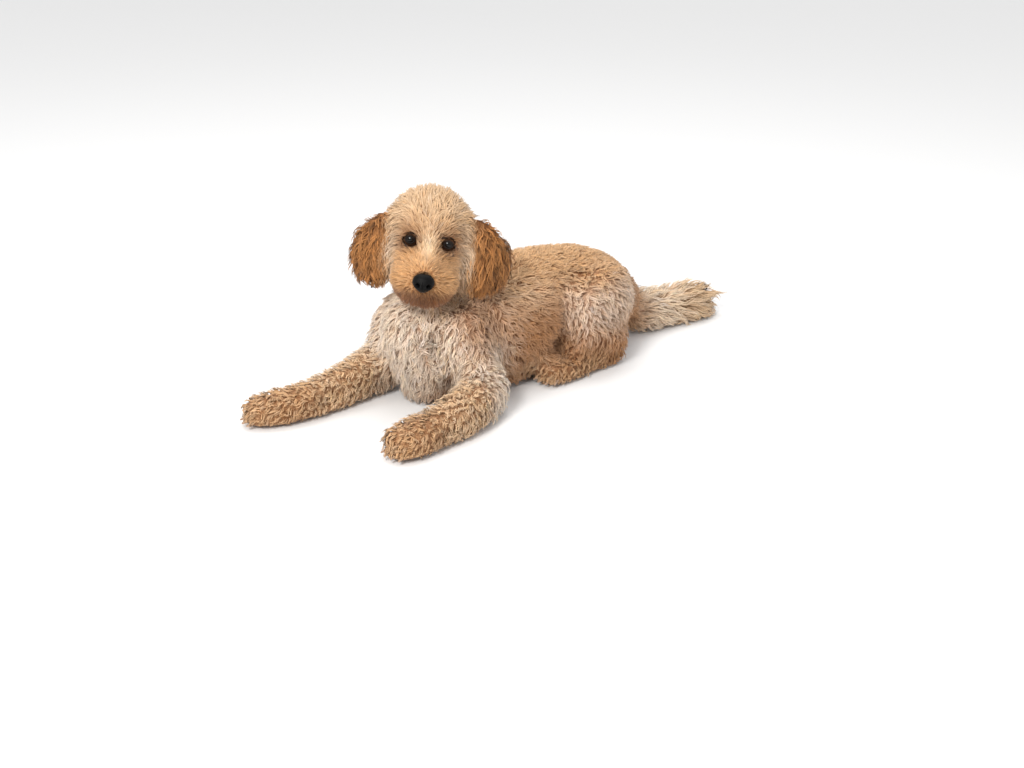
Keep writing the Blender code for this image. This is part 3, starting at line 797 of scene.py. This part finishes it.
def grow(name, nodes, tufts, seed, apart=0.0030, streak=0.08, lighter=0.09, crowd=shelter,
         clear=None, locks=5, steps=3, gather=0.40, stray=0.45, soft=0.6):
    """Grows this stretch of coat as one joined mesh of closed locks.

    apart is a tuft's radius; streak and lighter are how much tufts and locks differ in tone; clear
    keeps a path out of the way of something; gather draws a tuft's tips together; stray turns
    tufts off the lie; soft is how far a lock is shaded as the body under it."""
    rng = np.random.default_rng(seed)
    roots, weights = scatter(nodes, tufts, rng, crowd)
    count = len(roots)
    corners = hide_triangles[roots]

    def at_root(values):
        return (values[corners] * (weights[..., None] if values.ndim > 1 else weights)).sum(1)

    start, out, along = at_root(hide_points), unit(at_root(outward)), unit(at_root(lie))
    facts = at_root(chart)
    depth_here = np.maximum(facts[:, DEPTH], 0.0012)
    length = facts[:, LENGTH] * rng.uniform(0.80, 1.20, count)
    length *= np.clip(depth_here / 0.006, 0.45, 1.0)
    across = unit(np.cross(along, out))
    sway = rng.normal(0, stray, (2, count, 1)) * np.clip(depth_here / 0.010, 0.25, 1)[:, None]
    side_step = across * sway[0] + along * sway[1] * 0.6
    lift = np.radians(facts[:, LIFT] * rng.uniform(0.75, 1.25, count))
    spine = np.empty((steps + 1, count, 3))
    spine[0] = start - out * ROOT_SINK
    outs, faces = out, roots
    for step in range(1, steps + 1):
        t = step / steps
        local_lie = triangle_lie[faces]
        angle = lift * (1 - 0.75 * t)
        way = local_lie * np.cos(angle)[:, None] + outs * np.sin(angle)[:, None] + side_step
        way = unit(way) + np.array((0, 0, -1.0)) * (facts[:, DROOP] * t)[:, None]
        ahead = spine[step - 1] + unit(way) * (length / steps)[:, None]
        spots, outs, faces = on_hide(ahead)
        rise = ((ahead - spots) * outs).sum(1)
        least = depth_here * (1 - (1 - t) ** 1.5) * LEAST_STAND
        most = depth_here * MOST_STAND
        ahead += outs * np.maximum(least - rise, 0)[:, None]
        ahead -= outs * (np.maximum(rise - most, 0) * (1 - facts[:, FREE]))[:, None]
        ahead[:, 2] = np.maximum(ahead[:, 2], FLOOR_GAP)
        spine[step] = ahead

    # Each lock of a tuft starts a little apart from its neighbours and gathers towards the tip.
    total = count * locks
    tuft = np.repeat(np.arange(count), locks)
    angle = rng.uniform(0, 2 * np.pi, total)
    away = apart * np.sqrt(rng.random(total)) * np.clip(length[tuft] / 0.016, 0.6, 1.3)
    offset = across[tuft] * (away * np.cos(angle))[:, None]
    offset += along[tuft] * (away * np.sin(angle))[:, None]
    share = np.linspace(0, 1, steps + 1)
    path = spine[:, tuft] + offset[None] * (1 - gather * share)[:, None, None]
    reach = rng.uniform(1 - STAGGER, 1, total)
    ends = reach[None, :] * (share * steps)[:, None]
    lower = np.minimum(ends.astype(int), steps - 1)
    part = (ends - lower)[..., None]
    pick = np.arange(total)[None, :]
    path = path[lower, pick] * (1 - part) + path[lower + 1, pick] * part

    # The curl: a helix whose phase is shared by the tuft and strays a little from lock to lock.
    heading = unit(np.gradient(path, axis=0))
    radial = out[tuft][None] - heading * (heading * out[tuft][None]).sum(-1, keepdims=True)
    radial = unit(radial + 1e-6)
    sideways = np.cross(heading, radial)
    phase = (rng.uniform(0, 2 * np.pi, count)[tuft] + rng.normal(0, 0.25, total))[None]
    hand = np.where(rng.random(count) < 0.5, 1.0, -1.0)[tuft][None]
    turns = (facts[:, TURNS] * rng.uniform(0.8, 1.25, count))[tuft] * rng.uniform(0.94, 1.06, total)
    winding = phase + hand * 2 * np.pi * turns[None] * share[:, None]
    opening = np.clip(share * 2.2, 0, 1)[:, None]
    swing = (facts[:, CURL] * rng.uniform(0.6, 1.35, count))[tuft][None] * opening
    path = path + sideways * (swing * np.cos(winding))[..., None]
    path = path + radial * (swing * np.sin(winding))[..., None] * 0.8
    if clear is not None:
        path = clear(path)

    # The strand: a three-sided tube along the path, closed at the root and drawn to a point.
    width = facts[tuft, WIDTH] * rng.uniform(0.75, 1.25, total)
    path[..., 2] = np.maximum(path[..., 2], width * 0.35 + 0.0002)
    heading = unit(np.gradient(path, axis=0))
    radial = unit(radial - heading * (heading * radial).sum(-1, keepdims=True) + 1e-6)
    sideways = np.cross(heading, radial)
    taper = np.clip(0.70 + 0.60 * share, 0, 1.0) * (1 - share ** BLUNT)
    half = (width[None] * taper[:, None])[:steps, :, None] / 2
    base, mid, rad = path[:steps], sideways[:steps], radial[:steps]
    ring = np.stack([base - mid * half - rad * half * 0.35,
                     base + mid * half - rad * half * 0.35,
                     base + rad * half * 0.75], 2)
    ring[..., 2] = np.maximum(ring[..., 2], 0.0001)
    per = steps * 3 + 1
    points = np.empty((total, per, 3))
    points[:, :-1] = ring.transpose(1, 0, 2, 3).reshape(total, steps * 3, 3)
    points[:, -1] = path[steps]

    quads, ends_tri = [], [(0, 1, 2)]
    for step in range(steps - 1):
        for k in range(3):
            j = (k + 1) % 3
            quads.append((step * 3 + k, step * 3 + 3 + k, step * 3 + 3 + j, step * 3 + j))
    last = (steps - 1) * 3
    for k in range(3):
        ends_tri.append((last + k, per - 1, last + (k + 1) % 3))
    quads, ends_tri = np.array(quads), np.array(ends_tri)
    first = (np.arange(total) * per)[:, None, None]
    quad_corners = (quads[None] + first).reshape(total, -1)
    tri_corners = (ends_tri[None] + first).reshape(total, -1)
    loops = np.concatenate([quad_corners, tri_corners], 1).ravel()
    sizes = np.tile(np.r_[np.full(len(quads), 4), np.full(len(ends_tri), 3)], total)
    mesh = bpy.data.meshes.new(name)
    mesh.vertices.add(total * per)
    mesh.vertices.foreach_set("co", points.astype(np.float32).ravel())
    mesh.loops.add(len(loops))
    mesh.loops.foreach_set("vertex_index", loops.astype(np.int32))
    mesh.polygons.add(len(sizes))
    mesh.polygons.foreach_set("loop_start", np.r_[0, np.cumsum(sizes)[:-1]].astype(np.int32))
    mesh.update(calc_edges=True)
    for face in mesh.polygons:
        face.use_smooth = True
    # Fine hair scatters light, so each lock is shaded partly as the body under it.
    own = normals_of(mesh).reshape(total, per, 3)
    body = unit(out + outs)
    leaning = unit(own * (1 - soft) + body[tuft][:, None] * soft)
    mesh.normals_split_custom_set_from_vertices(leaning.reshape(-1, 3).tolist())

    # Colour from root to tip, the root darker partly as painted shade, with tufts and locks that differ a
    # little from one another.
    share_of = np.r_[np.repeat(share[:steps], 3), 1.0]
    dark, light = at_root(root_tone)[tuft], at_root(tip_tone)[tuft]
    mixed = (share_of ** 0.75)[None, :, None]
    tone = dark[:, None] * (1 - mixed) + light[:, None] * mixed
    strength = (1 + rng.normal(0, streak, count)[tuft] + rng.normal(0, lighter, total)).clip(0.5, 1.6)
    warmth = rng.normal(0, 0.035, count)[tuft]
    tone = tone * strength[:, None, None] * (1 + warmth[:, None, None] * np.array((0.6, 0.0, -1.2)))
    layer = mesh.attributes.new("tone", "FLOAT_COLOR", "POINT")
    flat = np.concatenate([tone.clip(0, 1), np.ones((total, per, 1))], 2)
    layer.data.foreach_set("color", flat.astype(np.float32).ravel())
    layer = mesh.attributes.new("strand", "FLOAT_VECTOR", "POINT")
    place = np.empty((total, per, 3))
    place[..., 0] = np.r_[np.tile((0.0, 1.0, 0.5), steps), 0.5][None]
    place[..., 1] = share_of[None] * 0.35
    place[..., 2] = rng.uniform(0, 50, total)[:, None]
    layer.data.foreach_set("vector", place.astype(np.float32).ravel())

    # On the unwrap, each lock is a small patch at its root's place.
    root_uv = (hide_uv[hide_loops[roots]] * weights[..., None]).sum(1)[tuft]
    patch = np.empty((total, per, 2))
    patch[..., 0] = root_uv[:, None, 0] + (place[..., 0] - 0.5) * PATCH
    patch[..., 1] = root_uv[:, None, 1] + (share_of[None] - 0.5) * PATCH
    patch = patch.clip(0, 1)
    layer = mesh.uv_layers.new(name="OFBake")
    layer.data.foreach_set("uv", patch.reshape(-1, 2)[loops].astype(np.float32).ravel())
    piece(name, mesh, curly_coat)


# ---------------------------------------------------------------- the coat of the head
# Short, fine, upright hair rooted in the skin of the skull and brushed up and out from the face.
# On the muzzle it is shorter and lies away from the nose; the eyes and the nose are left clear.
EYE_SIDE_ROOM, EYE_LID_ROOM = 0.0009, 0.0008    # clear of locks, past the lids' opening
BARE_ACROSS, BARE_TALL = 0.0053, 0.0041         # half the oval round each eye where nothing roots
EYE_FRONT = 0.0085                              # from an eye's middle to the middle of that oval
NOSE_ROOM = 1.06                                # locks keep outside the nose times this


def clear_face(path):
    """Keeps the locks out of the eyes' and the nose's way."""
    for side in SIDES:
        centre, radius = ball_of(side)
        away = path - centre - gazes[side] * radius
        ahead, left, up = away @ gazes[side], away @ head_left, away @ head_up
        size = np.hypot(left / (OPENING_ACROSS + EYE_SIDE_ROOM), up / (OPENING_TALL + EYE_LID_ROOM))
        push = np.where((ahead > -0.012) & (size < 1), 1 / np.maximum(size, 0.05) - 1, 0)
        path = path + head_left * (left * push)[..., None] + head_up * (up * push)[..., None]
    away = path - nose_middle
    local = np.stack([away @ head_left, away @ head_back, away @ head_up], -1) / (nose_size * NOSE_ROOM)
    size = np.linalg.norm(local, axis=-1, keepdims=True)
    grown = np.where(size < 1, local / np.maximum(size, 1e-6), local) * (nose_size * NOSE_ROOM)
    return nose_middle + grown @ head_axes.T


bare = np.zeros(hide_count)
for side in SIDES:
    away = hide_points - middle_of("eye_" + side) - gazes[side] * EYE_FRONT
    ahead, left, up = away @ gazes[side], away @ head_left, away @ head_up
    bare[(np.hypot(left / BARE_ACROSS, up / BARE_TALL) < 1) & (ahead > -0.02)] = 1.0
at_nose = np.linalg.norm((hide_points - nose_middle) @ head_axes / (nose_size * 1.05), axis=1)
bare[at_nose < 1] = 1.0
face_crowd = np.where(bare > 0, 0.0, shelter)
grow("crown_coat", ["head"], 2150, 11, apart=0.0032, clear=clear_face, locks=4,
     gather=0.15, stray=0.40, lighter=0.07, crowd=face_crowd, soft=0.85)
grow("muzzle_coat", ["muzzle", "lower_jaw"], 1350, 12, apart=0.0024, clear=clear_face,
     locks=4, gather=0.10, stray=0.22, crowd=face_crowd, soft=0.7)

# ---------------------------------------------------------------- the ears' feathering
# Long wavy locks, darker than the rest. They root in the thin leather of each ear, hang down from
# it and end ragged.
for number, side in enumerate(SIDES):
    grow("ear_coat_" + side, ["ear_" + side], 300, 21 + number, streak=0.20, lighter=0.18,
         locks=6, steps=5, gather=0.5, stray=0.20)

# ---------------------------------------------------------------- the coat of neck and chest
# A pale shaggy bib of loose curls, rooted in the loose skin of the throat and breast, that hangs
# down to the floor between the forelegs.
grow("chest_coat", ["neck", "chest"], 2050, 31, apart=0.0036, gather=0.5)

# ---------------------------------------------------------------- the coat of the back
# A short thick fleece of springy curls, clipped to one length. It grows all over the loin and the
# rump and is brushed back along them.
grow("back_coat", ["loin", "rump"], 2300, 41, gather=0.25, stray=0.60)

# ---------------------------------------------------------------- the coat of the legs
# Tight curls that grow down each leg to the claws, thickest where the leg shows and thin where it
# lies on the floor or against the trunk.
for number, side in enumerate(SIDES):
    grow("foreleg_coat_" + side, ["upper_arm_" + side, "forearm_" + side, "forepaw_" + side], 1080,
         51 + number)
    grow("hindleg_coat_" + side, ["thigh_" + side, "shank_" + side, "hind_paw_" + side], 850,
         61 + number)

# ---------------------------------------------------------------- the tail's plume
# Long soft locks rooted along the tail. They lie back along it, gather into points and part at
# its end.
grow("tail_coat", ["tail_base", "tail_tip"], 460, 71, steps=5, gather=0.5, stray=0.25)


# ---------------------------------------------------------------- floor, light and camera
# A pale seamless floor of matt paper. A small soft lamp stands ahead of the dog, a broad weaker
# one hangs above, and the air is pale. The camera stands above the dog, to the left of its front.
def floor_material():
    """Matt pale paper with the faintest mottling."""
    material, tree, shader = nodes_for("studio_paper", 0.9, 0.0)
    greys = two_tone(tree, noise(tree, 6.0).outputs["Fac"], (0.80, 0.80, 0.80), (0.84, 0.84, 0.84))
    tree.links.new(greys.outputs["Color"], shader.inputs["Base Color"])
    return material


work = bmesh.new()
bmesh.ops.create_grid(work, x_segments=8, y_segments=8, size=12.0)
mesh = bpy.data.meshes.new("floor")
work.to_mesh(mesh)
work.free()
mesh.materials.append(floor_material())
floor = bpy.data.objects.new("floor", mesh)
bpy.context.scene.collection.objects.link(floor)


def lamp(name, place, target, size, power, tint):
    """A square soft lamp that faces its target."""
    light = bpy.data.lights.new(name, "AREA")
    light.size = size
    light.energy = power
    light.color = tint
    holder = bpy.data.objects.new(name, light)
    holder.location = place
    holder.rotation_euler = (Vector(target) - Vector(place)).to_track_quat("-Z", "Y").to_euler()
    bpy.context.scene.collection.objects.link(holder)


lamp("key", (0.80, -1.70, 1.45), (0.0, 0.0, 0.12), 0.50, 37.0, (1.0, 0.985, 0.96))
lamp("top", (-0.4, 0.3, 2.2), (0.0, 0.0, 0.1), 1.2, 16.0, (1.0, 0.99, 0.98))
world = bpy.data.worlds.new("air")
world.use_nodes = True
world.node_tree.nodes["Background"].inputs["Color"].default_value = (1.0, 1.0, 1.0, 1)
world.node_tree.nodes["Background"].inputs["Strength"].default_value = 0.95
bpy.context.scene.world = world
bpy.context.scene.view_settings.view_transform = "Standard"

camera = bpy.data.cameras.new("camera")
camera.lens = 52.62
camera.sensor_width = 36.0
camera.clip_start, camera.clip_end = 0.05, 60.0
view_point = bpy.data.objects.new("camera", camera)
CAMERA_PLACE = Vector((1.3357, -1.3045, 0.7075))
CAMERA_TURN, CAMERA_HEIGHT, CAMERA_ROLL = (math.radians(angle) for angle in (46.334, 21.133, 0.356))
back_way = Vector((math.sin(CAMERA_TURN) * math.cos(CAMERA_HEIGHT),
                   -math.cos(CAMERA_TURN) * math.cos(CAMERA_HEIGHT), math.sin(CAMERA_HEIGHT)))
level = back_way.to_track_quat("Z", "Y").to_matrix()
view_point.matrix_world = (Matrix.Translation(CAMERA_PLACE) @ level.to_4x4()
                           @ Matrix.Rotation(CAMERA_ROLL, 4, "Z"))
bpy.context.scene.collection.objects.link(view_point)
bpy.context.scene.camera = view_point
